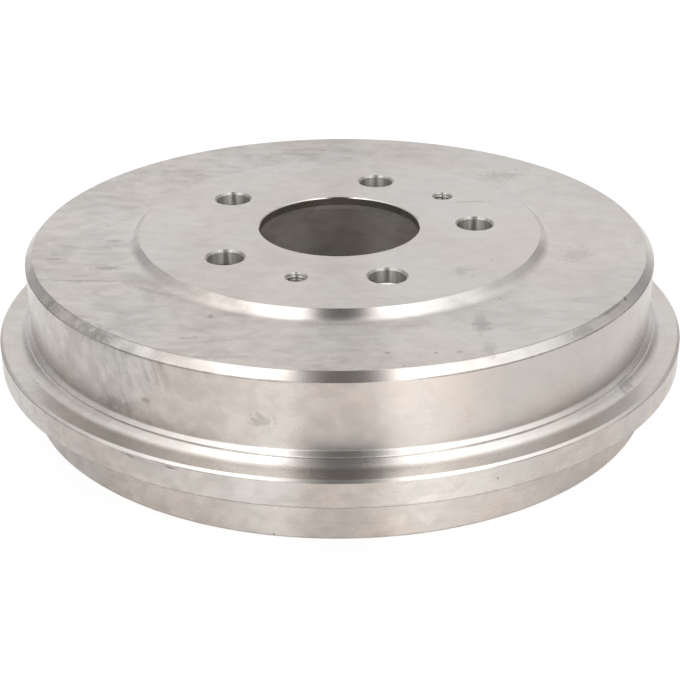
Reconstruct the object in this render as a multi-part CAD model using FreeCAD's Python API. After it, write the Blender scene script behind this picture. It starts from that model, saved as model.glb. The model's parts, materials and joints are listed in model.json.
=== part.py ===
# Rear brake drum of a passenger car: one grey iron casting, turned all over the
# outside, bored for the shoes and drilled for the wheel.
#
# Millimetres, +Z up. The drum stands on its open rim with the wheel face on top,
# as it lies on a bench. The origin is the centre of the open rim, and Z is the axle line.
# Hole number one of the wheel bolts is on +X.
import FreeCAD
import Part
import math
import os

# Overall sizes
overall_height = 65.5
friction_diameter = 228.6

# Wall, skirt and stiffening flange, measured out from the friction face
wall_thickness = 9.2
skirt_thickness = 10.5
flange_reach = 12.5
flange_drop = 35.7
flange_width = 10.6
flange_edge_width = 1.2
flange_edge_drop = 0.75
flange_underside_bevel = 4.0
foot_crease_fillet = 1.0
foot_bevel = 4.1
foot_bevel_fillet = 4.5
foot_groove_offset = 1.7
foot_groove_half_width = 0.3
foot_groove_depth = 0.15
edge_break = 0.5

# Wheel seat, the raised boss that the wheel bolts against
wheel_seat_diameter = 159.0
wheel_seat_rise = 3.3
wheel_seat_foot_fillet = 5.0
shoulder_chamfer = 2.9

# Hub side of the web
pilot_diameter = 63.6
pilot_land = 3.0
pilot_break = 0.4
hub_web = 6.0
hub_seat_diameter = 152.0
hub_seat_edge = 1.0
cast_web = 7.5
cast_corner_radius = 16.0
cast_corner_depth = 5.5

# Inside of the drum
relief_depth = 1.5
relief_width = 12.0
mouth_chamfer = 3.5

# Wheel bolt holes
bolt_count = 5
pitch_circle = 108.0
bolt_hole_diameter = 14.0
bolt_hole_countersink = 0.8
bolt_hole_back_break = 0.3

# Two threaded holes for jacking the drum off its hub, each midway between two bolt holes
jack_gaps = (0, 3)
jack_thread_diameter = 8.0
jack_thread_pitch = 1.25
jack_countersink_clearance = 0.7

# Radii and heights that follow from the sizes above
friction_radius = friction_diameter / 2
wall_radius = friction_radius + wall_thickness
skirt_radius = friction_radius + skirt_thickness
flange_radius = wall_radius + flange_reach
relief_radius = friction_radius + relief_depth
wheel_seat_radius = wheel_seat_diameter / 2
pilot_radius = pilot_diameter / 2
hub_seat_radius = hub_seat_diameter / 2
bolt_radius = bolt_hole_diameter / 2
pitch_radius = pitch_circle / 2

top = overall_height
annulus_height = top - wheel_seat_rise
flange_top = top - flange_drop
flange_foot = flange_top - flange_width
hub_seat_height = top - hub_web
cast_web_height = annulus_height - cast_web
relief_foot = cast_web_height - relief_width
friction_foot = mouth_chamfer
pilot_land_foot = top - pilot_break - pilot_land
pilot_lead_in = pilot_land_foot - hub_seat_height

# The tapping hole of a metric thread in iron is its size less 1.08 pitches
jack_hole_radius = (jack_thread_diameter - 1.08 * jack_thread_pitch) / 2
jack_countersink_radius = (jack_thread_diameter + jack_countersink_clearance) / 2


class Section:
    """Half of the drum's section, drawn point by point: X is the radius, Z the height."""

    def __init__(self, radius, height):
        self.start = FreeCAD.Vector(radius, 0, height)
        self.here = self.start
        self.edges = []
        self.waiting = None

    def line(self, radius, height):
        """Draw straight to a point."""
        goal = FreeCAD.Vector(radius, 0, height)
        self.finish_corner(goal)
        self.add(Part.LineSegment(self.here, goal), goal)

    def corner(self, radius, height, fillet):
        """Head for a corner that the next line rounds with this fillet."""
        point = FreeCAD.Vector(radius, 0, height)
        self.finish_corner(point)
        self.waiting = (point, fillet)

    def cove(self, height, radius, outward):
        """Draw a hollow arc that ends level at this height, going out (1) or in (-1)."""
        depth = abs(self.here.z - height)
        run = math.sqrt(2 * radius * depth - depth * depth)
        end = FreeCAD.Vector(self.here.x + outward * run, 0, height)
        centre = end + FreeCAD.Vector(0, 0, math.copysign(radius, self.here.z - height))
        middle = centre + ((self.here - centre) + (end - centre)).normalize() * radius
        self.add(Part.Arc(self.here, middle, end), end)

    def finish_corner(self, goal):
        if self.waiting is None:
            return
        point, fillet = self.waiting
        self.waiting = None
        arriving = (point - self.here).normalize()
        leaving = (goal - point).normalize()
        half_turn = arriving.getAngle(leaving) / 2
        setback = fillet * math.tan(half_turn)
        first = point - arriving * setback
        last = point + leaving * setback
        middle = point + (leaving - arriving).normalize() * fillet * (1 / math.cos(half_turn) - 1)
        self.add(Part.LineSegment(self.here, first), first)
        self.add(Part.Arc(first, middle, last), last)

    def add(self, curve, end):
        self.edges.append(curve.toShape())
        self.here = end

    def revolved(self):
        """Close the section and turn it about the axle line."""
        self.line(self.start.x, self.start.z)
        face = Part.Face(Part.Wire(self.edges))
        return face.revolve(FreeCAD.Vector(0, 0, 0), FreeCAD.Vector(0, 0, 1), 360)


def outer_faces(section):
    """From the pilot bore over the wheel seat and down the outside to the rim."""
    section.line(pilot_radius, top - pilot_break)
    section.line(pilot_radius + pilot_break, top)
    section.line(wheel_seat_radius, top)
    section.corner(wheel_seat_radius + wheel_seat_rise, annulus_height, wheel_seat_foot_fillet)
    section.line(wall_radius - shoulder_chamfer, annulus_height)
    section.line(wall_radius, annulus_height - shoulder_chamfer)
    foot_of_wall(section)
    section.line(flange_radius - flange_edge_width, flange_top)
    section.line(flange_radius, flange_top - flange_edge_drop)
    section.line(flange_radius, flange_foot + edge_break)
    section.line(flange_radius - edge_break, flange_foot)
    section.line(skirt_radius + flange_underside_bevel, flange_foot)
    section.line(skirt_radius, flange_foot - flange_underside_bevel)
    section.line(skirt_radius, edge_break)
    section.line(skirt_radius - edge_break, 0)


def foot_of_wall(section):
    """Down the wall and out along the 45 degree bevel, with the fine groove turned round it."""
    bevel_top = flange_top + foot_bevel
    groove_start = foot_groove_offset - foot_groove_half_width
    groove_floor = foot_groove_offset - foot_groove_depth
    groove_end = foot_groove_offset + foot_groove_half_width
    section.corner(wall_radius, bevel_top, foot_crease_fillet)
    section.line(wall_radius + groove_start, bevel_top - groove_start)
    section.line(wall_radius + groove_floor, bevel_top - foot_groove_offset - foot_groove_depth)
    section.line(wall_radius + groove_end, bevel_top - groove_end)
    section.corner(wall_radius + foot_bevel, flange_top, foot_bevel_fillet)


def inner_faces(section):
    """From the rim up the friction face and in over the cast web to the hub seat."""
    section.line(friction_radius + mouth_chamfer, 0)
    section.line(friction_radius, friction_foot)
    section.line(friction_radius, relief_foot - relief_depth)
    section.line(relief_radius, relief_foot)
    section.line(relief_radius, cast_web_height - cast_corner_depth)
    section.cove(cast_web_height, cast_corner_radius, outward=-1)
    section.line(hub_seat_radius + hub_seat_edge, cast_web_height)
    section.line(hub_seat_radius, cast_web_height + hub_seat_edge)
    section.line(hub_seat_radius, hub_seat_height)
    section.line(pilot_radius + pilot_lead_in, hub_seat_height)


def drilled_hole(radius, top_radius, back_radius):
    """The tool that drills one hole through the hub web and countersinks both ends."""
    margin = 1.0
    section = Section(0, hub_seat_height - margin)
    section.line(back_radius + margin, hub_seat_height - margin)
    section.line(radius, hub_seat_height + back_radius - radius)
    section.line(radius, top - (top_radius - radius))
    section.line(top_radius + margin, top + margin)
    section.line(0, top + margin)
    return section.revolved()


def on_pitch_circle(tool, angle):
    """Move a tool out to the bolt circle and round it by an angle in degrees."""
    placed = tool.copy()
    placed.translate(FreeCAD.Vector(pitch_radius, 0, 0))
    placed.rotate(FreeCAD.Vector(0, 0, 0), FreeCAD.Vector(0, 0, 1), angle)
    return placed


def brake_drum():
    """The turned casting with its bolt holes and jacking holes."""
    section = Section(pilot_radius, pilot_land_foot)
    outer_faces(section)
    inner_faces(section)
    drum = section.revolved()

    bolt_tool = drilled_hole(
        bolt_radius, bolt_radius + bolt_hole_countersink, bolt_radius + bolt_hole_back_break
    )
    jack_tool = drilled_hole(jack_hole_radius, jack_countersink_radius, jack_countersink_radius)
    spacing = 360 / bolt_count
    tools = [on_pitch_circle(bolt_tool, spacing * number) for number in range(bolt_count)]
    tools += [on_pitch_circle(jack_tool, spacing * (gap + 0.5)) for gap in jack_gaps]
    return drum.cut(tools)


os.makedirs("parts", exist_ok=True)
drum = brake_drum()
drum.exportStep("parts/brake_drum.step")
print("solids", len(drum.Solids), "valid", drum.isValid())
print("volume in cubic centimetres", round(drum.Volume / 1000, 1))
print("friction face width", round(relief_foot - relief_depth - friction_foot, 2))
print("outside diameter", 2 * flange_radius, "height", overall_height)
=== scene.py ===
# %% [markdown]
# # A rear brake drum, cast in grey iron and turned on a lathe
#
# The real drum is one iron casting. A lathe has cut its outside, its wheel seat and the
# face that the brake shoes rub on, and only the underside of its web is left as cast.
# So the model is one outline turned about the axle line, with the holes cut out of it
# afterwards, in the same order as the workshop makes them.

# %% Load the frame that the construction model gives
import json
import math

import bpy
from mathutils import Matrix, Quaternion, Vector


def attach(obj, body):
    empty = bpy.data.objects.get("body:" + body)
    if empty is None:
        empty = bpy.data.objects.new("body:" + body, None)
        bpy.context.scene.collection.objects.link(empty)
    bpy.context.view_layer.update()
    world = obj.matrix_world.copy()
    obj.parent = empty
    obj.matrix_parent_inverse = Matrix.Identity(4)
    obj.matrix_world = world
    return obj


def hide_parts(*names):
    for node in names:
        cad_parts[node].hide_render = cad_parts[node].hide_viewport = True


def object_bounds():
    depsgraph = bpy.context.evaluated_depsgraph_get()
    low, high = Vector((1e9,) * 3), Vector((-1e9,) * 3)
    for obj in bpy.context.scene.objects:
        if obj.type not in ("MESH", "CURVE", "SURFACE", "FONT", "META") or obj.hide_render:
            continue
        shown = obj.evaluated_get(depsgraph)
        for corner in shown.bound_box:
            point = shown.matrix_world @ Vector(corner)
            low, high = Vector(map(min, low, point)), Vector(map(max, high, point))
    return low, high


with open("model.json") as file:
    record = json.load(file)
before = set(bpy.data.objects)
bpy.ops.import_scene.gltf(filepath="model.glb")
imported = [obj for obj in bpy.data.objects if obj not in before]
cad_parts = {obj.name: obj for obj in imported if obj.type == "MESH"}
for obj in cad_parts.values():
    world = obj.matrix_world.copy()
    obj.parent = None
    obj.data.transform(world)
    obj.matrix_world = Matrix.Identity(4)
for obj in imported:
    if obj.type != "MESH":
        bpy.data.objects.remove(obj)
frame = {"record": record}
cad_low, cad_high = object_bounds()
print("construction model spans", [round(v, 4) for v in (*cad_low, *cad_high)])

# %% [markdown]
# The sizes that something else has to fit, such as the pilot bore, the bolt circle and
# the friction face, are read from the frame's mounts. A drum copied by eye would look
# much the same, but it would no longer take its wheel. The rest are named here in
# millimetres, and one factor brings them to Blender's metres.

# %% Sizes that the frame gives, in millimetres
MM = 0.001
mounts = {mount["name"]: mount for mount in frame["record"]["mounts"]}


def mount_size(name, key):
    return mounts[name]["dims"][key]


def mount_height(name):
    return mounts[name]["pos_m"][2] / MM


top = cad_high.z / MM
flange_radius = cad_high.x / MM
friction_radius = mount_size("friction_face", "r_mm")
friction_width = mount_size("friction_face", "length_mm")
friction_foot = mount_height("friction_face") - friction_width / 2
pilot_radius = mount_size("pilot_bore", "r_mm")
pilot_land = mount_size("pilot_bore", "length_mm")
hub_seat_height = mount_height("hub_seat")
pitch_radius = mount_size("wheel_bolts", "pcd_mm") / 2
stud_hole_count = mount_size("wheel_bolts", "count")
stud_hole_radius = mount_size("wheel_bolts", "hole_r_mm")
jack_hole_radius = mount_size("jack_screw_a", "r_mm")
print("drum", 2 * flange_radius, "across and", top, "high, friction face", 2 * friction_radius)

# %% Sizes of the turned outside, in millimetres
wall_radius = friction_radius + 9.2
skirt_radius = friction_radius + 10.5
seat_radius = 79.5
seat_rise = 3.3
seat_foot_fillet = 5.0
shoulder = 2.9
foot_crease_fillet = 1.0
foot_bevel = 4.1
foot_bevel_fillet = 4.5
flange_edge_width = 1.2
flange_edge_drop = 0.75
flange_top = top - 35.7
flange_foot = flange_top - 10.6
underside_bevel = 4.0
rim_break = 0.5

# %% Sizes of the inside, in millimetres
pilot_break = 0.4
relief_depth = 1.5
cast_web = 7.5
cast_corner_radius = 16.0
cast_corner_depth = 5.5
hub_recess_radius = 76.0
hub_recess_edge = 1.0
annulus_height = top - seat_rise
cast_web_height = annulus_height - cast_web
friction_top = friction_foot + friction_width
relief_radius = friction_radius + relief_depth

# %% [markdown]
# A lathe never leaves a perfectly sharp edge. Each edge of the outline gets a radius of
# a few tenths of a millimetre, which no one sees as a shape, but which catches the light
# as the thin bright or dark line along every edge of real turned iron. One helper rounds
# the corners of an outline, and another draws the hollow curve inside the casting.

# %% Outline helpers: a point is radius, height, edge radius and the finish after it
ARC_STEP = math.radians(6)
HOLLOW_STEP = ARC_STEP / 2
TURNED, BORED, CAST, DRILLED, REAMED = range(5)


def corner_arc(before, here, after, edge):
    """The points that round one corner by the edge radius."""
    corner = Vector(here)
    arriving = (corner - Vector(before)).normalized()
    leaving = (Vector(after) - corner).normalized()
    turn = arriving.angle(leaving)
    inward = (leaving - arriving).normalized()
    centre = corner + inward * edge / math.cos(turn / 2)
    setback = edge * math.tan(turn / 2)
    first = corner - arriving * setback - centre
    last = corner + leaving * setback - centre
    steps = max(2, math.ceil(turn / ARC_STEP))
    return [centre + first.slerp(last, step / steps) * edge for step in range(steps + 1)]


def rounded(points):
    """A closed outline with its corners rounded, as points and the finish of each stretch."""
    outline = []
    for number, (radius, height, edge, finish) in enumerate(points):
        before = points[number - 1][:2]
        after = points[(number + 1) % len(points)][:2]
        if edge:
            arc = corner_arc(before, (radius, height), after, edge)
        else:
            arc = [Vector((radius, height))]
        outline += [(point.x, point.y, finish) for point in arc]
    return outline


def hollow(centre, radius, start, end, finish):
    """The points of a hollow arc between two directions in degrees."""
    steps = math.ceil(abs(math.radians(end - start)) / HOLLOW_STEP)
    points = []
    for step in range(steps + 1):
        angle = math.radians(start + (end - start) * step / steps)
        place = centre + Vector((math.cos(angle), math.sin(angle))) * radius
        points.append((place.x, place.y, 0, finish))
    return points


print("corners are rounded in steps of", round(math.degrees(ARC_STEP)), "degrees")

# %% [markdown]
# The outline of the drum runs from the pilot bore over the wheel seat, down the outside
# to the rim, and back up the inside. The wheel seat, the shoulder and the foot of the
# wall all end in a bevel of 45 degrees, cut with the side of one tool. The photograph
# shows it: all three are bright and dark at the same places round the drum. A fine
# groove runs round the lowest bevel, where two passes of the tool meet.

# %% The drum's outline
EDGE = 0.25
FINE_EDGE = 0.12
groove_offset = 1.7
groove_half_width = 0.3
groove_depth = 0.15


def foot_of_wall():
    """The bevel from the wall out to the flange, with the fine groove in it."""
    bevel_top = flange_top + foot_bevel
    groove_start = groove_offset - groove_half_width
    groove_floor = groove_offset - groove_depth
    groove_end = groove_offset + groove_half_width
    return [
        (wall_radius, bevel_top, foot_crease_fillet, TURNED),
        (wall_radius + groove_start, bevel_top - groove_start, 0, TURNED),
        (wall_radius + groove_floor, bevel_top - groove_offset - groove_depth, 0, TURNED),
        (wall_radius + groove_end, bevel_top - groove_end, 0, TURNED),
        (wall_radius + foot_bevel, flange_top, foot_bevel_fillet, TURNED),
    ]


def cast_corner():
    """The cast curve from the relief into the underside of the web."""
    reach = cast_corner_radius - cast_corner_depth
    run = math.sqrt(cast_corner_radius**2 - reach**2)
    centre = Vector((relief_radius - run, cast_web_height - cast_corner_radius))
    start = math.degrees(math.asin(reach / cast_corner_radius))
    return hollow(centre, cast_corner_radius, start, 90, CAST)


pilot_land_foot = top - pilot_break - pilot_land
pilot_lead_in = pilot_land_foot - hub_seat_height
mouth_chamfer = friction_foot
drum_points = [
    (pilot_radius, pilot_land_foot, FINE_EDGE, REAMED),
    (pilot_radius, top - pilot_break, FINE_EDGE, REAMED),
    (pilot_radius + pilot_break, top, FINE_EDGE, TURNED),
    (seat_radius, top, EDGE, TURNED),
    (seat_radius + seat_rise, annulus_height, seat_foot_fillet, TURNED),
    (wall_radius - shoulder, annulus_height, EDGE, TURNED),
    (wall_radius, annulus_height - shoulder, EDGE, TURNED),
    *foot_of_wall(),
    (flange_radius - flange_edge_width, flange_top, EDGE, TURNED),
    (flange_radius, flange_top - flange_edge_drop, EDGE, TURNED),
    (flange_radius, flange_foot + rim_break, FINE_EDGE, TURNED),
    (flange_radius - rim_break, flange_foot, FINE_EDGE, TURNED),
    (skirt_radius + underside_bevel, flange_foot, EDGE, TURNED),
    (skirt_radius, flange_foot - underside_bevel, EDGE, TURNED),
    (skirt_radius, rim_break, FINE_EDGE, TURNED),
    (skirt_radius - rim_break, 0, FINE_EDGE, TURNED),
    (friction_radius + mouth_chamfer, 0, EDGE, TURNED),
    (friction_radius, friction_foot, EDGE, BORED),
    (friction_radius, friction_top, EDGE, TURNED),
    (relief_radius, friction_top + relief_depth, EDGE, TURNED),
    *cast_corner(),
    (hub_recess_radius + hub_recess_edge, cast_web_height, EDGE, TURNED),
    (hub_recess_radius, cast_web_height + hub_recess_edge, EDGE, TURNED),
    (hub_recess_radius, hub_seat_height, EDGE, TURNED),
    (pilot_radius + pilot_lead_in, hub_seat_height, FINE_EDGE, TURNED),
]
drum_outline = rounded(drum_points)
print("outline has", len(drum_outline), "points")

# %% [markdown]
# Blender can turn an outline with the Screw modifier or with a spin in edit mode. Here
# the rings are written straight into the mesh, because that lets each stretch of the
# outline carry its own finish: turned, bored, reamed or as cast. A fifth finish waits
# for the drilled holes.

# %% Turn an outline about an upright line
DRUM_STEPS = 300


def turned_mesh(name, outline, steps, place=(0, 0), closed=True):
    """A mesh made by turning an outline, given in millimetres, about an upright line."""
    count = len(outline)
    points = []
    for step in range(steps):
        angle = 2 * math.pi * step / steps
        for radius, height, _ in outline:
            x = place[0] + radius * math.cos(angle)
            y = place[1] + radius * math.sin(angle)
            points.append((x * MM, y * MM, height * MM))
    faces = []
    face_finishes = []
    for step in range(steps):
        this_ring = step * count
        next_ring = (step + 1) % steps * count
        for number in range(count if closed else count - 1):
            following = (number + 1) % count
            face = (this_ring + number, next_ring + number, next_ring + following, this_ring + following)
            faces.append(face)
            face_finishes.append(outline[number][2])
    if not closed:
        faces.append([step * count for step in range(steps)][::-1])
        faces.append([step * count + count - 1 for step in range(steps)])
        face_finishes += [outline[0][2], outline[-1][2]]
    mesh = bpy.data.meshes.new(name)
    mesh.from_pydata(points, [], faces)
    mesh.polygons.foreach_set("material_index", face_finishes)
    mesh.update()
    return mesh


def add_object(name, mesh):
    piece = bpy.data.objects.new(name, mesh)
    bpy.context.scene.collection.objects.link(piece)
    return piece


FINISH_NAMES = ("turned iron", "bored iron", "cast skin", "drilled iron", "reamed iron")
finishes = [bpy.data.materials.new(name) for name in FINISH_NAMES]


def give_finishes(piece):
    """Fill a piece's material slots in the order that the outlines count on."""
    for finish in finishes:
        piece.data.materials.append(finish)


drum = add_object("drum", turned_mesh("drum", drum_outline, DRUM_STEPS))
give_finishes(drum)
print("turned blank has", len(drum.data.polygons), "faces")

# %% [markdown]
# The five stud holes are drilled through the web and countersunk. The tool for one hole
# is an outline turned about the hole's own line, wider than the hole at both ends, where
# it makes the countersink and a slightly rounded lip.

# %% The tools that drill the stud holes
hole_margin = 1.0
stud_countersink = 0.8
stud_back_break = 0.3
TOOL_STEPS = 96


def on_pitch_circle(angle):
    """The place of a hole on the bolt circle, in millimetres."""
    return (pitch_radius * math.cos(angle), pitch_radius * math.sin(angle))


def hole_outline(radius, top_break, back_break):
    """Half of a drilling tool's section, from its lower end to its upper end."""
    lip = 0.15
    points = [
        (radius + back_break, hub_seat_height - hole_margin, 0, DRILLED),
        (radius + back_break, hub_seat_height, lip, DRILLED),
        (radius, hub_seat_height + back_break, lip, DRILLED),
        (radius, top - top_break, FINE_EDGE, DRILLED),
        (radius + top_break + lip / 2, top + lip / 2, 0, TURNED),
        (radius + top_break + hole_margin, top + hole_margin, 0, TURNED),
    ]
    return rounded([(0, points[0][1], 0, DRILLED), *points, (0, points[-1][1], 0, DRILLED)])[1:-1]


tools = []
for number in range(stud_hole_count):
    place = on_pitch_circle(2 * math.pi * number / stud_hole_count)
    outline = hole_outline(stud_hole_radius, stud_countersink, stud_back_break)
    tools.append(turned_mesh("stud_tool", outline, TOOL_STEPS, place, closed=False))
print(len(tools), "stud holes on a circle of", 2 * pitch_radius)

# %% [markdown]
# Two smaller holes are tapped M8. A screw turned into them pushes a stuck drum off its
# hub. The thread is real geometry: the tool is a tall cylinder whose radius follows the
# thread's profile, and the profile climbs by one pitch in each turn. Where the
# countersink is wider than the thread, the countersink wins.

# %% The tools that tap the two jacking holes
thread_pitch = 1.25
thread_depth = 0.61
jack_countersink_radius = 4.35
THREAD_STEPS = 72
ROWS_PER_PITCH = 12
CREST = 0.125
ROOT = 0.25


def thread_profile(turn):
    """How deep the thread is cut, from 0 to 1, at a part of a turn."""
    rise = min(turn, 1 - turn) * 2
    return min(max((rise - CREST) / (1 - CREST - ROOT), 0), 1)


def tapped_radius(height, turn):
    """The radius of a tapped hole at a height and a part of a turn."""
    along = (height / thread_pitch - turn) % 1
    thread = jack_hole_radius + thread_depth * thread_profile(along)
    from_top = jack_countersink_radius - (top - height)
    from_back = jack_countersink_radius - (height - hub_seat_height)
    return max(thread, from_top, from_back)


def tapping_mesh(place):
    """The closed tool that leaves a tapped and countersunk hole."""
    low = hub_seat_height - hole_margin
    high = top + hole_margin
    rows = math.ceil((high - low) / thread_pitch * ROWS_PER_PITCH)
    points = []
    for row in range(rows + 1):
        height = low + (high - low) * row / rows
        for step in range(THREAD_STEPS):
            turn = step / THREAD_STEPS
            radius = tapped_radius(height, turn)
            x = place[0] + radius * math.cos(2 * math.pi * turn)
            y = place[1] + radius * math.sin(2 * math.pi * turn)
            points.append((x * MM, y * MM, height * MM))
    faces = [list(range(THREAD_STEPS))[::-1]]
    faces.append([rows * THREAD_STEPS + step for step in range(THREAD_STEPS)])
    for row in range(rows):
        for step in range(THREAD_STEPS):
            here = row * THREAD_STEPS + step
            beside = row * THREAD_STEPS + (step + 1) % THREAD_STEPS
            faces.append((here, beside, beside + THREAD_STEPS, here + THREAD_STEPS))
    mesh = bpy.data.meshes.new("tap")
    mesh.from_pydata(points, [], faces)
    mesh.polygons.foreach_set("material_index", [DRILLED] * len(faces))
    mesh.update()
    return mesh


for name in ("jack_screw_a", "jack_screw_b"):
    place = [value / MM for value in mounts[name]["pos_m"][:2]]
    tools.append(tapping_mesh(place))
    print(name, "is tapped at", [round(value, 2) for value in place])

# %% [markdown]
# All the tools are cut out of the blank by one Boolean modifier with the exact solver.
# The modifier's result then becomes the drum's mesh, so that nothing depends on the
# tools any more. Edges that turn by more than 24 degrees stay sharp, the rounded ones
# are shaded smooth, and a Weighted Normal modifier keeps the flat faces truly flat.

# %% Cut the holes
SHARP_ANGLE = math.radians(24)


def joined_tools():
    """All tools as one object, because the Boolean modifier takes one object."""
    parts = [add_object("tool", mesh) for mesh in tools]
    for part in parts:
        give_finishes(part)
    first = parts[0]
    with bpy.context.temp_override(active_object=first, selected_editable_objects=parts):
        bpy.ops.object.join()
    return first


def bake_modifiers(piece):
    """Replace a piece's mesh with the result of its modifiers."""
    graph = bpy.context.evaluated_depsgraph_get()
    result = bpy.data.meshes.new_from_object(piece.evaluated_get(graph))
    piece.modifiers.clear()
    piece.data = result


tool = joined_tools()
cut = drum.modifiers.new("holes", "BOOLEAN")
cut.operation = "DIFFERENCE"
cut.solver = "EXACT"
cut.object = tool
bake_modifiers(drum)
bpy.data.objects.remove(tool)
drum.data.shade_smooth()
drum.data.set_sharp_from_angle(angle=SHARP_ANGLE)
weighted = drum.modifiers.new("flat faces", "WEIGHTED_NORMAL")
weighted.keep_sharp = True
weighted.weight = 100
given_finishes = [face.material_index for face in drum.data.polygons]
counts = {name: given_finishes.count(number) for number, name in enumerate(FINISH_NAMES)}
print("drum with its holes has", len(given_finishes), "faces:", counts)

# %% [markdown]
# The finishes are built from nodes. A small helper adds a node, sets its options and
# connects or fills its inputs in one call, which keeps each material short to read.

# %% Node helpers
def add(tree, kind, sockets=None, **options):
    """Add a node; sockets maps an input's name or number to a value or another socket."""
    node = tree.nodes.new(kind)
    for option, value in options.items():
        setattr(node, option, value)
    for socket, value in (sockets or {}).items():
        if isinstance(value, bpy.types.NodeSocket):
            tree.links.new(value, node.inputs[socket])
        else:
            node.inputs[socket].default_value = value
    return node


def math_node(tree, operation, first, second=0.0, third=0.0):
    return add(tree, "ShaderNodeMath", {0: first, 1: second, 2: third}, operation=operation).outputs[0]


def vector_node(tree, operation, first, second=(0.0, 0.0, 0.0), output="Vector"):
    sockets = {0: first, 1: second}
    return add(tree, "ShaderNodeVectorMath", sockets, operation=operation).outputs[output]


def product(tree, *factors):
    """All the factors multiplied together."""
    result = factors[0]
    for factor in factors[1:]:
        result = math_node(tree, "MULTIPLY", result, factor)
    return result


def fade(tree, value, start, end):
    """A smooth step from 0 at start to 1 at end."""
    node = add(tree, "ShaderNodeMapRange", {0: value, 1: start, 2: end, 3: 0.0, 4: 1.0})
    node.interpolation_type = "SMOOTHSTEP"
    return node.outputs[0]


def blend(tree, share, first, second):
    return add(tree, "ShaderNodeMix", {0: share, 2: first, 3: second}, data_type="FLOAT").outputs[0]


def blend_colour(tree, share, first, second, how="MIX"):
    node = add(tree, "ShaderNodeMix", data_type="RGBA", blend_type=how)
    for socket, value in zip((node.inputs[0], node.inputs[6], node.inputs[7]), (share, first, second)):
        if isinstance(value, bpy.types.NodeSocket):
            tree.links.new(value, socket)
        else:
            socket.default_value = value
    return node.outputs[2]


def empty_tree(owner):
    owner.use_nodes = True
    owner.node_tree.nodes.clear()
    return owner.node_tree


# %% [markdown]
# Three of the five finishes share the same marks, so each kind of mark is a node group
# that is built once. The first is the grain that a turning tool leaves: rings that are
# fine across the grooves and long around the drum. Its noise is looked up by the cosine
# and sine of the angle, by the radius and by the height, so it has no seam. The flange
# and the skirt were cut with a faster feed, so the grain is made stronger there.

# %% Group: turning grain
def new_group(name, inputs, outputs):
    """An empty shader node group with named sockets, and its input and output nodes."""
    tree = bpy.data.node_groups.new(name, "ShaderNodeTree")
    for socket, value in inputs.items():
        kind = "NodeSocketFloat" if isinstance(value, float) else "NodeSocketVector"
        tree.interface.new_socket(name=socket, in_out="INPUT", socket_type=kind).default_value = value
    for socket, kind in outputs.items():
        tree.interface.new_socket(name=socket, in_out="OUTPUT", socket_type=kind)
    return tree, tree.nodes.new("NodeGroupInput").outputs, tree.nodes.new("NodeGroupOutput").inputs


def axle_place(tree):
    """Object place, direction round the axle, radius and height."""
    place = add(tree, "ShaderNodeTexCoord").outputs["Object"]
    parts = add(tree, "ShaderNodeSeparateXYZ", {0: place}).outputs
    flat = add(tree, "ShaderNodeCombineXYZ", {0: parts["X"], 1: parts["Y"]}).outputs[0]
    around = vector_node(tree, "NORMALIZE", flat)
    radius = vector_node(tree, "LENGTH", flat, output="Value")
    return place, around, radius, parts["Z"]


def noise(tree, vector, scale, detail=2.0, roughness=0.5, distortion=0.0, w=None):
    sockets = {"Vector": vector, "Scale": scale, "Detail": detail, "Roughness": roughness}
    sockets["Distortion"] = distortion
    if w is None:
        return add(tree, "ShaderNodeTexNoise", sockets).outputs["Fac"]
    sockets["W"] = w
    return add(tree, "ShaderNodeTexNoise", sockets, noise_dimensions="4D").outputs["Fac"]


FLANGE_HEIGHTS = (0.0315, 0.0285)
COARSE_FEED = 2.6


def grain_group():
    inputs = {"Rings per metre": 900.0, "Round": 12.0}
    tree, given, result = new_group("turning grain", inputs, {"Grain": "NodeSocketFloat"})
    _, around, radius, height = axle_place(tree)
    ring = math_node(tree, "MULTIPLY", radius, given["Rings per metre"])
    level = math_node(tree, "MULTIPLY", height, given["Rings per metre"])
    turned = add(tree, "ShaderNodeVectorMath", {0: around, "Scale": given["Round"]}, operation="SCALE")
    lift = add(tree, "ShaderNodeCombineXYZ", {2: ring})
    where = vector_node(tree, "ADD", turned.outputs[0], lift.outputs[0])
    lines = noise(tree, where, 1.0, w=level)
    feed = blend(tree, fade(tree, height, *FLANGE_HEIGHTS), 1.0, COARSE_FEED)
    centred = math_node(tree, "SUBTRACT", lines, 0.5)
    tree.links.new(math_node(tree, "MULTIPLY_ADD", centred, feed, 0.5), result["Grain"])
    return tree


grain_marks = grain_group()
print("turning grain takes", len(grain_marks.nodes), "nodes")

# %% [markdown]
# The second group is what hands and rags leave on clean bare iron: clouds a few
# centimetres wide, a finer mottle in them, and here and there a patch of thin strokes.
# They aren't the same everywhere. The right side was handled less, and the wheel seat and
# the foot of the wall stay cleaner than the broad faces. On the wall the strokes run
# down, because a rag is dragged over it like that, and only its left half has them. On
# the flat faces they run across. A mask that fades over a named span, in metres, says
# where each of these starts. The last output says where an oil film has dried warm.

# %% Where the stains lie
RIGHT_SIDE = (-0.02, 0.07)
RIGHT_OF_WALL = (-0.02, 0.04)
LEFT_HALF = (0.0, -0.04)
LEFT_END = (-0.116, -0.070)
PAST_SEAT = (0.076, 0.083)
ON_WALL = (0.1222, 0.1232)
OFF_WALL = (0.1245, 0.1230)
IN_FOOT = (0.1232, 0.1242)
FOOT_HEIGHTS = (0.0285, 0.0295)
WALL_HEIGHTS = (0.028, 0.034)
STROKE_HEIGHTS = (0.028, 0.032)
RIGHT_KEEPS = 0.55
RIGHT_WALL_KEEPS = 0.5
SEAT_KEEPS = 0.5
FOOT_KEEPS = 0.6
FLAT_STROKES = 0.8


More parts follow.
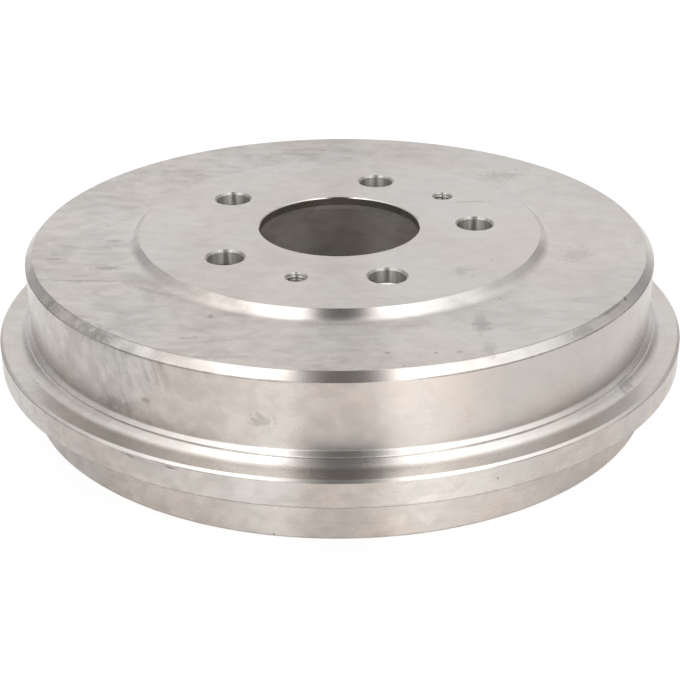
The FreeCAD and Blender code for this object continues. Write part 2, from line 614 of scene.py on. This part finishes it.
def soiled_share(tree, sideways, radius, height):
    """How much of the stains each place keeps, from 0 to 1."""
    side = blend(tree, fade(tree, sideways, *RIGHT_SIDE), 1.0, RIGHT_KEEPS)
    wall = product(tree, fade(tree, sideways, *RIGHT_OF_WALL), fade(tree, radius, *ON_WALL))
    wall = product(tree, wall, fade(tree, height, *WALL_HEIGHTS))
    seat = fade(tree, radius, *PAST_SEAT)
    foot = product(tree, fade(tree, radius, *IN_FOOT), fade(tree, height, *FOOT_HEIGHTS))
    kept = product(tree, blend(tree, seat, SEAT_KEEPS, 1.0), blend(tree, foot, 1.0, FOOT_KEEPS))
    return product(tree, side, blend(tree, wall, 1.0, RIGHT_WALL_KEEPS), kept)


def dragged_share(tree, sideways, radius, height, level_face, soiled):
    """Where a rag was dragged: down the left of the wall and across the flat faces."""
    wall = product(tree, fade(tree, sideways, *LEFT_HALF), fade(tree, sideways, *LEFT_END))
    wall = product(tree, wall, fade(tree, height, *STROKE_HEIGHTS))
    flat = product(tree, soiled, fade(tree, radius, *OFF_WALL), FLAT_STROKES)
    return blend(tree, level_face, wall, flat)


print("stains fade out towards the right between", *RIGHT_SIDE, "metres")

# %% Group: stains
MOTTLE_STRETCH = (0.7, 1.0, 1.0)
MOTTLE_SCALE = 200.0
WALL_LEAN = 2.2
WALL_STRETCH = (1.0, 1.0, 0.18)
WALL_SCALE = 440.0
FLAT_LEAN = 0.2
FLAT_STRETCH = (0.3, 1.0, 1.0)
FLAT_SCALE = 190.0
PATCH_SCALE = 17.0
WARM_SCALE = 24.0
LEVEL_FACE = (0.5, 0.8)


def strokes(tree, place, lean, stretch, scale):
    """Noise that is drawn out, after the place is turned about the axle by lean."""
    sockets = {"Vector": place, "Angle": lean}
    turned = add(tree, "ShaderNodeVectorRotate", sockets, rotation_type="Z_AXIS")
    drawn = vector_node(tree, "MULTIPLY", turned.outputs[0], stretch)
    return noise(tree, drawn, scale, detail=5.0, roughness=0.62, distortion=0.4)


def stains_group():
    outputs = dict.fromkeys(("Clouds", "Mottle", "Strokes", "Warm"), "NodeSocketFloat")
    tree, given, result = new_group("stains", {"Cloud scale": 30.0}, outputs)
    place, _, radius, height = axle_place(tree)
    sideways = add(tree, "ShaderNodeSeparateXYZ", {0: place}).outputs["X"]
    normal = add(tree, "ShaderNodeNewGeometry").outputs["Normal"]
    upward = add(tree, "ShaderNodeSeparateXYZ", {0: normal}).outputs["Z"]
    level_face = fade(tree, math_node(tree, "ABSOLUTE", upward), *LEVEL_FACE)
    soiled = soiled_share(tree, sideways, radius, height)
    dragged = dragged_share(tree, sideways, radius, height, level_face, soiled)

    clouds = noise(tree, place, given["Cloud scale"], detail=4.0, roughness=0.55, distortion=0.9)
    drawn_across = vector_node(tree, "MULTIPLY", place, MOTTLE_STRETCH)
    mottle = noise(tree, drawn_across, MOTTLE_SCALE, detail=3.0, roughness=0.5, distortion=0.3)
    lean = math_node(tree, "MULTIPLY", height, WALL_LEAN)
    down = strokes(tree, place, lean, WALL_STRETCH, WALL_SCALE)
    across = strokes(tree, place, FLAT_LEAN, FLAT_STRETCH, FLAT_SCALE)
    lines = fade(tree, blend(tree, level_face, down, across), 0.44, 0.70)
    patch = fade(tree, noise(tree, place, PATCH_SCALE, detail=3.0), 0.44, 0.60)
    warm = noise(tree, place, WARM_SCALE, detail=3.0, roughness=0.5, w=3.0)

    tree.links.new(product(tree, fade(tree, clouds, 0.35, 0.7), soiled), result["Clouds"])
    tree.links.new(product(tree, fade(tree, mottle, 0.36, 0.68), soiled), result["Mottle"])
    tree.links.new(product(tree, lines, patch, dragged), result["Strokes"])
    tree.links.new(fade(tree, warm, 0.38, 0.62), result["Warm"])
    return tree


stain_marks = stains_group()
print("stains take", len(stain_marks.nodes), "nodes")

# %% [markdown]
# The third group holds pits and specks, which are small, dark and rare. The fourth is
# painted shade: a dark line along an edge, which stands in for the shade and the dark
# reflections along the drum's edges, and for its contact shadow at the rim. It needs the
# radius and the height of the edge, and a noise breaks its line up.

# %% Groups: specks and painted edge shade
SPECK_CELLS = 160.0
SPECK_RIM = 900.0
SPECK_CHANCE = 0.12


def specks_group():
    tree, given, result = new_group("specks", {"Amount": 0.5}, {"Specks": "NodeSocketFloat"})
    place = axle_place(tree)[0]
    sockets = {"Vector": place, "Scale": SPECK_CELLS, "Randomness": 1.0}
    cells = add(tree, "ShaderNodeTexVoronoi", sockets)
    ragged = noise(tree, place, SPECK_RIM)
    edge = math_node(tree, "MULTIPLY_ADD", ragged, 0.12, cells.outputs["Distance"])
    dot = fade(tree, edge, 0.16, 0.10)
    chance = add(tree, "ShaderNodeSeparateColor", {0: cells.outputs["Color"]}).outputs[0]
    limit = math_node(tree, "MULTIPLY", given["Amount"], SPECK_CHANCE)
    rare = math_node(tree, "LESS_THAN", chance, limit)
    tree.links.new(product(tree, dot, rare), result["Specks"])
    return tree


# Painted shade: a dark line along one edge, in place of the shade and dark reflections there.
def painted_edge_shade_group():
    inputs = {"Radius": 0.1, "Height": 0.0, "Width": 0.0006, "Patchy": 0.5}
    tree, given, result = new_group("painted edge shade", inputs, {"Line": "NodeSocketFloat"})
    place, _, radius, height = axle_place(tree)
    outward = math_node(tree, "SUBTRACT", radius, given["Radius"])
    upward = math_node(tree, "SUBTRACT", height, given["Height"])
    section = add(tree, "ShaderNodeCombineXYZ", {0: outward, 1: upward})
    distance = vector_node(tree, "LENGTH", section.outputs[0], output="Value")
    ragged = math_node(tree, "MULTIPLY_ADD", noise(tree, place, 420.0, detail=4.0), 2.0, 0.2)
    width = product(tree, given["Width"], ragged)
    line = math_node(tree, "SUBTRACT", 1.0, math_node(tree, "DIVIDE", distance, width))
    patches = fade(tree, noise(tree, place, 28.0, detail=3.0), 0.62, 0.40)
    kept = blend(tree, given["Patchy"], 1.0, patches)
    tree.links.new(product(tree, fade(tree, line, 0.0, 0.5), kept), result["Line"])
    return tree


speck_marks = specks_group()
painted_edge_shade = painted_edge_shade_group()
print("specks and painted edge shade take", len(speck_marks.nodes) + len(painted_edge_shade.nodes), "nodes")

# %% [markdown]
# The last group is one mark at one place: a smudge, a pit or a short stroke. It is an
# ellipsoid round a point of the surface, with a noise that makes its edge ragged. The
# few marks that stand out in the photograph are placed by it, by radius, height and
# bearing, as a turner would describe them.

# %% Group: one mark
def mark_group():
    inputs = {"Centre": (0.0, 0.0, 0.0), "Half size": (0.004, 0.004, 0.004), "Turn": 0.0, "Ragged": 0.5}
    tree, given, result = new_group("mark", inputs, {"Mark": "NodeSocketFloat"})
    place = axle_place(tree)[0]
    away = vector_node(tree, "SUBTRACT", place, given["Centre"])
    sockets = {"Vector": away, "Angle": math_node(tree, "MULTIPLY", given["Turn"], -1.0)}
    turned = add(tree, "ShaderNodeVectorRotate", sockets, rotation_type="Z_AXIS")
    scaled = vector_node(tree, "DIVIDE", turned.outputs[0], given["Half size"])
    distance = vector_node(tree, "LENGTH", scaled, output="Value")
    ragged = math_node(tree, "SUBTRACT", noise(tree, place, 480.0, detail=4.0, roughness=0.65), 0.5)
    reach = math_node(tree, "MULTIPLY", given["Ragged"], 4.0)
    edge = math_node(tree, "MULTIPLY_ADD", ragged, reach, distance)
    tree.links.new(fade(tree, edge, 1.25, 0.45), result["Mark"])
    return tree


def place_group(tree, group, label="", **sockets):
    node = tree.nodes.new("ShaderNodeGroup")
    node.node_tree = group
    node.label = label
    for socket, value in sockets.items():
        node.inputs[socket.replace("_", " ")].default_value = value
    return node.outputs


one_mark = mark_group()
print("one mark takes", len(one_mark.nodes), "nodes")

# %% [markdown]
# Each mark has a radius, a height and a bearing round the axle, half its size along three
# axes, a turn about the axle line, how ragged it is and how dark. Burrs and nicks are
# thin and nearly black, while smears are wide and faint. Where marks meet, only the
# darkest one counts.

# %% The marks that stand out, with sizes in millimetres and bearings in degrees
MARKS = (
    ("smudge on the outer flat", 98.5, annulus_height, -61.3, (3.0, 8.5, 2.0), 0.0, 0.7, 0.30),
    ("its tail", 117.0, annulus_height, -66.0, (2.6, 6.0, 2.0), 0.0, 0.8, 0.22),
    ("dot near the shoulder", 108.9, annulus_height, -82.7, (1.2, 1.0, 1.0), 0.0, 0.4, 0.45),
    ("second dot", 112.6, annulus_height, -74.5, (0.8, 0.8, 1.0), 0.0, 0.4, 0.45),
    ("third dot", 114.4, annulus_height, -70.7, (1.0, 0.8, 1.0), 0.0, 0.4, 0.45),
    ("dot by the wheel seat", 90.4, annulus_height, -121.0, (1.2, 1.5, 1.0), 0.0, 0.6, 0.4),
    ("pit at the right edge", 121.3, annulus_height, -33.2, (1.0, 1.3, 1.0), 0.0, 0.5, 0.8),
    ("burr at the right edge", 121.0, annulus_height, -38.5, (0.9, 13.0, 0.9), -38.5, 0.25, 0.5),
    ("stroke beside the wheel seat", 89.6, annulus_height, -176.4, (3.2, 1.3, 1.0), 0.0, 0.7, 0.40),
    ("stroke below it", 94.4, annulus_height, -159.4, (5.4, 1.5, 1.0), 2.0, 0.8, 0.36),
    ("long scratch", 101.9, annulus_height, -153.8, (14.5, 1.0, 1.0), -4.0, 0.6, 0.30),
    ("stroke at the left edge", 112.6, annulus_height, -167.9, (6.0, 1.2, 1.0), 4.0, 0.7, 0.26),
    ("stroke round the wheel seat", 88.8, annulus_height, -141.8, (9.5, 1.7, 1.0), -37.0, 0.9, 0.24),
    ("stroke in front", 108.0, annulus_height, -118.8, (3.6, 1.2, 1.0), 2.0, 0.8, 0.26),
    ("stroke near the shoulder", 118.6, annulus_height, -113.0, (15.0, 1.3, 1.0), 0.0, 1.0, 0.22),
    ("smear at the back", 98.5, annulus_height, 42.0, (9.0, 5.0, 1.0), 15.0, 1.3, 0.22),
    ("smear at the right", 94.6, annulus_height, -15.3, (5.0, 8.0, 1.0), -30.0, 1.3, 0.16),
    ("spot on the wheel seat", 65.4, top, -46.9, (3.5, 5.0, 1.0), 0.0, 1.3, 0.20),
    ("stroke on the wheel seat", 59.4, top, 24.3, (8.5, 1.4, 1.0), 4.0, 0.7, 0.20),
    ("blot on the left shoulder", 121.9, 61.2, -149.2, (2.2, 3.6, 2.2), -149.0, 1.3, 0.34),
    ("rust on the left shoulder", 122.1, 61.0, -134.5, (2.4, 8.0, 2.4), -134.5, 1.9, 0.32),
    ("burr under the left shoulder", 124.0, 59.1, -125.5, (0.8, 15.0, 0.7), -125.5, 0.25, 0.5),
    ("blot on the right shoulder", 122.4, 60.8, -48.0, (2.4, 7.0, 2.4), -48.0, 0.8, 0.26),
    ("stain in the foot", wall_radius, 37.5, -129.0, (2.0, 9.0, 2.6), -129.0, 1.0, 0.28),
    ("pit in the wall", wall_radius, 43.3, -123.2, (2.0, 2.1, 1.1), -123.2, 0.8, 0.36),
    ("blot on the wall", wall_radius, 43.9, -102.9, (2.0, 2.8, 2.0), -102.9, 2.2, 0.28),
    ("nick under the lip", flange_radius, 28.3, -122.5, (1.0, 3.2, 0.45), -122.5, 0.8, 0.5),
    ("second nick", flange_radius, 28.1, -115.6, (1.0, 3.0, 0.45), -115.6, 0.5, 0.65),
    ("stain on the bevel", 126.5, 31.3, -36.2, (2.5, 6.0, 2.5), -36.2, 0.8, 0.32),
)


def placed_marks(tree):
    """The darkest of all the marks at each point."""
    darkest = 0.0
    for name, radius, height, bearing, half_size, turn, ragged, depth in MARKS:
        angle = math.radians(bearing)
        centre = Vector((radius * math.cos(angle), radius * math.sin(angle), height)) * MM
        sockets = {"Centre": centre, "Half_size": Vector(half_size) * MM, "Turn": math.radians(turn)}
        mark = place_group(tree, one_mark, name, Ragged=ragged, **sockets)["Mark"]
        darkest = math_node(tree, "MAXIMUM", darkest, math_node(tree, "MULTIPLY", mark, depth))
    return darkest


print(len(MARKS), "marks stand out")

# %% The edges that get painted shade, with sizes in millimetres
groove_radius = wall_radius + groove_offset
groove_height = flange_top + foot_bevel - groove_offset
# Painted shade: each edge gets a dark line for the shade and dark reflections along it, and the rim's
# line is a painted contact shadow.
PAINTED_SHADE_EDGES = (
    ("lower edge of the shoulder", wall_radius, annulus_height - shoulder, 0.38, 1.0, 0.6),
    ("upper edge of the shoulder", wall_radius - shoulder, annulus_height, 0.30, 1.0, 0.45),
    ("edge of the wheel seat", seat_radius, top, 0.28, 1.0, 0.40),
    ("groove of the foot", groove_radius, groove_height, 0.25, 0.4, 0.32),
    ("lip of the flange", flange_radius, flange_top - flange_edge_drop, 0.30, 1.0, 0.45),
    ("lower edge of the flange", flange_radius - 0.2, flange_foot + 0.3, 0.50, 0.3, 0.5),
    ("rim", skirt_radius, 0.3, 0.55, 0.6, 0.5),
)


# Painted shade: the darkest edge line at each point.
def painted_shade_edges(tree):
    darkest = 0.0
    for name, radius, height, width, patchy, depth in PAINTED_SHADE_EDGES:
        sockets = {"Radius": radius * MM, "Height": height * MM, "Width": width * MM, "Patchy": patchy}
        line = place_group(tree, painted_edge_shade, name, **sockets)["Line"]
        darkest = math_node(tree, "MAXIMUM", darkest, math_node(tree, "MULTIPLY", line, depth))
    return darkest


print(len(PAINTED_SHADE_EDGES), "edges get painted shade")

# %% [markdown]
# The turned iron itself is bare metal. Its grooves spread a reflection across them and
# keep it sharp along them, which is what makes the long bright and dark bands on lathe
# work. The Principled shader does that with its Anisotropic value, once the Tangent node
# says which way the grooves run.

# %% The turned iron
TURNED_ROUGHNESS = 0.26
TURNED_STRETCH = 0.78
ACROSS_GROOVES = 0.25
GRAIN_RELIEF = 6e-6
WARM_FILM = (1.0, 0.955, 0.93, 1)
# This dark colour is used for the specks and placed marks, and also for the painted edge shade.
DIRT_AND_SHADE_COLOUR = (0.13, 0.12, 0.11, 1)
CLOUD_SHARE = 0.32
MOTTLE_SHARE = 0.34
STROKE_SHARE = 0.55
GRAIN_SHARE = 0.16
SPECK_SHARE = 0.6
STAIN_DULLING = 0.10


def worn_iron(tree, bright, dull, roughness):
    """Colour, roughness and height for bare iron with grain, stains and specks."""
    grain = place_group(tree, grain_marks)["Grain"]
    stains = place_group(tree, stain_marks)
    specks = place_group(tree, speck_marks)["Specks"]
    clouded = math_node(tree, "MULTIPLY", stains["Clouds"], CLOUD_SHARE)
    mottled = math_node(tree, "MULTIPLY_ADD", stains["Mottle"], MOTTLE_SHARE, clouded)
    soiled = math_node(tree, "MULTIPLY_ADD", stains["Strokes"], STROKE_SHARE, mottled)
    grained = math_node(tree, "MULTIPLY_ADD", grain, GRAIN_SHARE, soiled)
    colour = blend_colour(tree, grained, bright, dull)
    colour = blend_colour(tree, stains["Warm"], colour, WARM_FILM, "MULTIPLY")
    colour = blend_colour(tree, math_node(tree, "MULTIPLY", specks, SPECK_SHARE), colour, DIRT_AND_SHADE_COLOUR)
    rough = math_node(tree, "MULTIPLY_ADD", soiled, STAIN_DULLING, roughness)
    return colour, rough, grain


def lathe_metal(tree, colour, rough, height, stretch):
    """Bare metal whose grooves run round the axle."""
    relief = add(tree, "ShaderNodeBump", {"Strength": 1.0, "Distance": GRAIN_RELIEF, "Height": height})
    grooves = add(tree, "ShaderNodeTangent", direction_type="RADIAL", axis="Z")
    shader = add(tree, "ShaderNodeBsdfPrincipled", {
        "Base Color": colour,
        "Metallic": 1.0,
        "Roughness": rough,
        "Anisotropic": stretch,
        "Anisotropic Rotation": ACROSS_GROOVES,
        "Tangent": grooves.outputs[0],
        "Normal": relief.outputs[0],
    })
    add(tree, "ShaderNodeOutputMaterial", {"Surface": shader.outputs[0]})


def turned_iron(material, bright, dull, roughness, stretch):
    tree = empty_tree(material)
    colour, rough, height = worn_iron(tree, bright, dull, roughness)
    # The placed marks are dirt and wear, and the edge lines are painted shade.
    dirt_and_shade = math_node(tree, "MAXIMUM", placed_marks(tree), painted_shade_edges(tree))
    lathe_metal(tree, blend_colour(tree, dirt_and_shade, colour, DIRT_AND_SHADE_COLOUR), rough, height, stretch)


turned_iron(
    finishes[TURNED],
    bright=(0.625, 0.60, 0.575, 1),
    dull=(0.41, 0.39, 0.37, 1),
    roughness=TURNED_ROUGHNESS,
    stretch=TURNED_STRETCH,
)
print("turned iron takes", len(finishes[TURNED].node_tree.nodes), "nodes")

# %% [markdown]
# The friction face is bored by another tool and keeps a thin film of oil and dust, so it
# is browner and a little duller in colour. The pilot bore is reamed to size, which leaves
# it smooth, so it mirrors the dark inside of the drum, and its colour is also painted
# darker than the turned iron's, as painted shade for that dark reflection. Neither has
# any placed marks.

# %% The bored and the reamed iron
def bored_iron(material, bright, dull, roughness, stretch):
    tree = empty_tree(material)
    colour, rough, height = worn_iron(tree, bright, dull, roughness)
    lathe_metal(tree, colour, rough, height, stretch)


bored_iron(
    finishes[BORED],
    bright=(0.62, 0.585, 0.535, 1),
    dull=(0.40, 0.37, 0.335, 1),
    roughness=0.22,
    stretch=TURNED_STRETCH,
)
# Painted shade: these darker colours stand in for the dark inside that the pilot bore mirrors.
bored_iron(
    finishes[REAMED],
    bright=(0.50, 0.49, 0.46, 1),
    dull=(0.36, 0.35, 0.33, 1),
    roughness=0.12,
    stretch=0.3,
)
print("bored iron takes", len(finishes[BORED].node_tree.nodes), "nodes")

# %% [markdown]
# The stud holes are drilled, and the grooves of a drill run round the hole's own line and
# not round the axle. Their tangent is therefore worked out as the cross product of the
# upright direction and the wall's own normal. Faint upright chatter marks show how the
# drill went through.

# %% The drilled iron
CHATTER_STRETCH = (1.0, 1.0, 0.04)
CHATTER_SCALE = 900.0


def drilled_iron(material, bright, dull):
    tree = empty_tree(material)
    place = add(tree, "ShaderNodeTexCoord").outputs["Object"]
    upright = vector_node(tree, "MULTIPLY", place, CHATTER_STRETCH)
    chatter = noise(tree, upright, CHATTER_SCALE, detail=3.0)
    colour = blend_colour(tree, fade(tree, chatter, 0.36, 0.64), bright, dull)
    relief = add(tree, "ShaderNodeBump", {"Strength": 1.0, "Distance": 1.5e-5, "Height": chatter})
    normal = add(tree, "ShaderNodeNewGeometry").outputs["Normal"]
    grooves = vector_node(tree, "CROSS_PRODUCT", (0, 0, 1), normal)
    shader = add(tree, "ShaderNodeBsdfPrincipled", {
        "Base Color": colour,
        "Metallic": 1.0,
        "Roughness": 0.48,
        "Anisotropic": 0.9,
        "Anisotropic Rotation": ACROSS_GROOVES,
        "Tangent": grooves,
        "Normal": relief.outputs[0],
    })
    add(tree, "ShaderNodeOutputMaterial", {"Surface": shader.outputs[0]})


drilled_iron(finishes[DRILLED], bright=(0.57, 0.545, 0.51, 1), dull=(0.43, 0.41, 0.38, 1))
print("drilled iron takes", len(finishes[DRILLED].node_tree.nodes), "nodes")

# %% [markdown]
# The underside of the web has never met a tool. It keeps the skin of the casting: dark
# grey, dull, and rough from the grains of the sand mould.

# %% The cast skin
SAND_GRAIN = 900.0
SAND_RELIEF = 2.5e-4


def cast_skin(material, light, dark):
    tree = empty_tree(material)
    place = add(tree, "ShaderNodeTexCoord").outputs["Object"]
    sand = noise(tree, place, SAND_GRAIN, detail=4.0, roughness=0.6)
    patches = noise(tree, place, 45.0, detail=5.0, roughness=0.6)
    relief = add(tree, "ShaderNodeBump", {"Strength": 1.0, "Distance": SAND_RELIEF, "Height": sand})
    shader = add(tree, "ShaderNodeBsdfPrincipled", {
        "Base Color": blend_colour(tree, fade(tree, patches, 0.35, 0.65), light, dark),
        "Metallic": 0.6,
        "Roughness": math_node(tree, "MULTIPLY_ADD", patches, 0.2, 0.5),
        "Normal": relief.outputs[0],
    })
    add(tree, "ShaderNodeOutputMaterial", {"Surface": shader.outputs[0]})


cast_skin(finishes[CAST], light=(0.20, 0.19, 0.18, 1), dark=(0.12, 0.112, 0.105, 1))
print("cast skin takes", len(finishes[CAST].node_tree.nodes), "nodes")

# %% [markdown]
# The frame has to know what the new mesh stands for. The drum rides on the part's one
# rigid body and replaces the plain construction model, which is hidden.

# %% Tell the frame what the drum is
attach(drum, "root")
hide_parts("brake_drum")
print(drum.name, "stands for the construction model's one piece")

# %% [markdown]
# The studio is a white tent. The drum is bare metal, so almost all that is seen of it is
# a reflection of its surroundings, and these are drawn with that in mind. The floor is
# white paper with a slight sheen, on which the drum's shadow falls. Where the drum
# mirrors it, it also glows a little: most in front, where the light is warm, less and
# cooler at the sides, and hardly at all in the shade inside the drum. The camera sees it
# nearly white, so that it joins the background.

# %% The floor
FLOOR_HALF = 3.0
FRONT_LIGHT = (0.21, -0.978, 0.0)
FRONT_SPREAD = (0.89, 0.985)
FRONT_LEVEL = 1.62
SIDE_LEVEL = 1.12
WARM_SPREAD = (0.1, 0.8)
WARM_FLOOR = (1.05, 0.965, 0.90, 1)
COOL_FLOOR = (1.0, 0.985, 0.96, 1)
DRUM_SHADE = (0.11, 0.13)
SHADED_SHARE = 0.08
OPEN_SHARE = 0.35
CAMERA_SHARE = 0.80
CAMERA_LEVEL = 1.12
SHEEN_SHARE = 0.29
WHITE = (1, 1, 1, 1)

floor_mesh = bpy.data.meshes.new("floor")
floor_corners = [(-FLOOR_HALF, -FLOOR_HALF, 0), (FLOOR_HALF, -FLOOR_HALF, 0)]
floor_corners += [(FLOOR_HALF, FLOOR_HALF, 0), (-FLOOR_HALF, FLOOR_HALF, 0)]
floor_mesh.from_pydata(floor_corners, [], [(0, 1, 2, 3)])
floor = add_object("floor", floor_mesh)


def floor_paper():
    material = bpy.data.materials.new("white paper")
    tree = empty_tree(material)
    place = add(tree, "ShaderNodeNewGeometry").outputs["Position"]
    towards = vector_node(tree, "NORMALIZE", place)
    facing = vector_node(tree, "DOT_PRODUCT", towards, FRONT_LIGHT, output="Value")
    lit = blend(tree, fade(tree, facing, *FRONT_SPREAD), SIDE_LEVEL, FRONT_LEVEL)
    tint = blend_colour(tree, fade(tree, facing, *WARM_SPREAD), COOL_FLOOR, WARM_FLOOR)
    path = add(tree, "ShaderNodeLightPath").outputs
    camera_ray = path["Is Camera Ray"]
    glow = add(tree, "ShaderNodeEmission", {
        "Color": blend_colour(tree, camera_ray, tint, WHITE),
        "Strength": blend(tree, camera_ray, lit, CAMERA_LEVEL),
    })
    paper = add(tree, "ShaderNodeBsdfDiffuse", {"Color": (0.95, 0.95, 0.95, 1)})
    sheen = add(tree, "ShaderNodeBsdfGlossy", {"Color": WHITE, "Roughness": 0.2})
    surface = add(tree, "ShaderNodeMixShader", {0: SHEEN_SHARE, 1: paper.outputs[0], 2: sheen.outputs[0]})
    from_axle = vector_node(tree, "LENGTH", place, output="Value")
    glowing = blend(tree, fade(tree, from_axle, *DRUM_SHADE), SHADED_SHARE, OPEN_SHARE)
    mirrored = product(tree, path["Is Glossy Ray"], glowing)
    share = math_node(tree, "MULTIPLY_ADD", camera_ray, CAMERA_SHARE, mirrored)
    mixed = add(tree, "ShaderNodeMixShader", {0: share, 1: surface.outputs[0], 2: glow.outputs[0]})
    add(tree, "ShaderNodeOutputMaterial", {"Surface": mixed.outputs[0]})
    return material


floor.data.materials.append(floor_paper())
print("floor is", 2 * FLOOR_HALF, "metres wide")

# %% [markdown]
# The camera looks in through a gap between two tall softboxes, and the bevels show it:
# each is bright on both sides of a narrow dark band. A world shader can draw this
# without any lamp, from the direction that a mirrored ray goes in. Across the front the
# levels run from the dark gap over the softboxes to the dimmer cloth at the sides. The
# cloth behind the drum has its own levels, and the low corners at the sides are darker.
# Only mirrored rays see these levels. All others see plain white.

# %% The tent
PANEL_MAX = 3.0
PANEL_SPAN = (-1.0, 7.0)
PANEL_STOPS = (
    (-0.40, 0.09), (-0.12, 0.12), (0.00, 0.28), (0.10, 0.90), (0.22, 2.80), (0.75, 2.80),
    (1.00, 1.95), (1.50, 1.80), (2.20, 1.50), (3.20, 1.32), (5.00, 1.00), (6.40, 0.88),
)
BACK_STOPS = ((0.00, 0.95), (0.40, 1.00), (0.60, 0.70), (0.75, 0.84), (1.00, 0.42))
INNER_EDGE = (-0.17, 0.10)
OUTER_EDGE = (-0.40, 0.47)
NARROWEST_GAP = 0.075
NARROWEST_PANEL = 0.12
FRONT_TO_BACK = (0.24, 0.80)
LOW_CORNER_LOSS = 0.68
SIDE_LOSS = 0.26


def level_ramp(tree, position, span, stops, top_level):
    """Light levels along a span, read between stops."""
    place = add(tree, "ShaderNodeMapRange", {0: position, 1: span[0], 2: span[1], 3: 0.0, 4: 1.0})
    ramp = add(tree, "ShaderNodeValToRGB", {0: place.outputs[0]})
    elements = ramp.color_ramp.elements
    while len(elements) < len(stops):
        elements.new(0.5)
    for element, (at, level) in zip(elements, stops):
        element.position = (at - span[0]) / (span[1] - span[0])
        element.color = (level / top_level, level / top_level, level / top_level, 1)
    return math_node(tree, "MULTIPLY", ramp.outputs[0], top_level)


def panel_edge(tree, parts, edge):
    """How far sideways an edge of a softbox lies in the direction that is looked at."""
    ahead = math_node(tree, "MULTIPLY", parts["Y"], edge[0])
    return math_node(tree, "MULTIPLY_ADD", parts["Z"], edge[1], ahead)


def darkened(tree, light, loss, *shares):
    """Light that loses a part of itself where all the shares are 1."""
    kept = math_node(tree, "MULTIPLY_ADD", product(tree, *shares), -loss, 1.0)
    return math_node(tree, "MULTIPLY", light, kept)


def tent_light(tree, parts):
    """The level of light that comes from a direction, given by its three parts."""
    sideways = math_node(tree, "ABSOLUTE", parts["X"])
    inner = math_node(tree, "MAXIMUM", panel_edge(tree, parts, INNER_EDGE), NARROWEST_GAP)
    outer = panel_edge(tree, parts, OUTER_EDGE)
    width = math_node(tree, "MAXIMUM", math_node(tree, "SUBTRACT", outer, inner), NARROWEST_PANEL)
    across = math_node(tree, "DIVIDE", math_node(tree, "SUBTRACT", sideways, inner), width)
    front = level_ramp(tree, across, PANEL_SPAN, PANEL_STOPS, PANEL_MAX)
    back = level_ramp(tree, sideways, (0.0, 1.0), BACK_STOPS, 1.0)
    tent = blend(tree, fade(tree, parts["Y"], *FRONT_TO_BACK), front, back)
    low_corner = (fade(tree, parts["Z"], 0.44, 0.10), fade(tree, sideways, 0.5, 0.8))
    tent = darkened(tree, tent, LOW_CORNER_LOSS, *low_corner)
    side = (fade(tree, parts["Z"], 0.60, 0.46), fade(tree, sideways, 0.52, 0.72))
    return darkened(tree, tent, SIDE_LOSS, *side, fade(tree, parts["Y"], 0.35, 0.05))


def studio_world():
    world = bpy.data.worlds.new("studio")
    bpy.context.scene.world = world
    tree = empty_tree(world)
    direction = add(tree, "ShaderNodeTexCoord").outputs["Generated"]
    parts = add(tree, "ShaderNodeSeparateXYZ", {0: direction}).outputs
    path = add(tree, "ShaderNodeLightPath").outputs
    mirrored = math_node(tree, "MAXIMUM", path["Is Glossy Ray"], path["Is Transmission Ray"])
    strength = blend(tree, mirrored, 1.0, tent_light(tree, parts))
    background = add(tree, "ShaderNodeBackground", {"Color": WHITE, "Strength": strength})
    add(tree, "ShaderNodeOutputWorld", {"Surface": background.outputs[0]})


studio_world()
print("tent has", len(PANEL_STOPS), "levels in front and", len(BACK_STOPS), "behind the drum")

# %% [markdown]
# The camera was fitted to nine turned circles of the photograph, because circles seen at
# a slant give away where they are seen from. It is placed by its distance, elevation and
# bearing from a point on the axle, so that each of these can be changed alone.

# %% The camera
camera_distance = 0.5914
camera_target = Vector((0, 0, 0.01465))
camera_elevation = math.radians(25.94)
camera_bearing = math.radians(-90.94)
camera_roll = math.radians(-0.346)
camera_lens = 75.7

flat = Vector((math.cos(camera_bearing), math.sin(camera_bearing), 0))
back = flat * math.cos(camera_elevation) + Vector((0, 0, math.sin(camera_elevation)))
camera = bpy.data.objects.new("camera", bpy.data.cameras.new("camera"))
bpy.context.scene.collection.objects.link(camera)
camera.data.lens = camera_lens
camera.data.sensor_width = 36.0
camera.location = camera_target + back * camera_distance
camera.rotation_mode = "QUATERNION"
camera.rotation_quaternion = (-back).to_track_quat("-Z", "Y") @ Quaternion((0, 0, 1), camera_roll)
bpy.context.scene.camera = camera
bpy.context.scene.view_settings.view_transform = "Standard"
print("camera stands at", [round(value, 3) for value in camera.location])
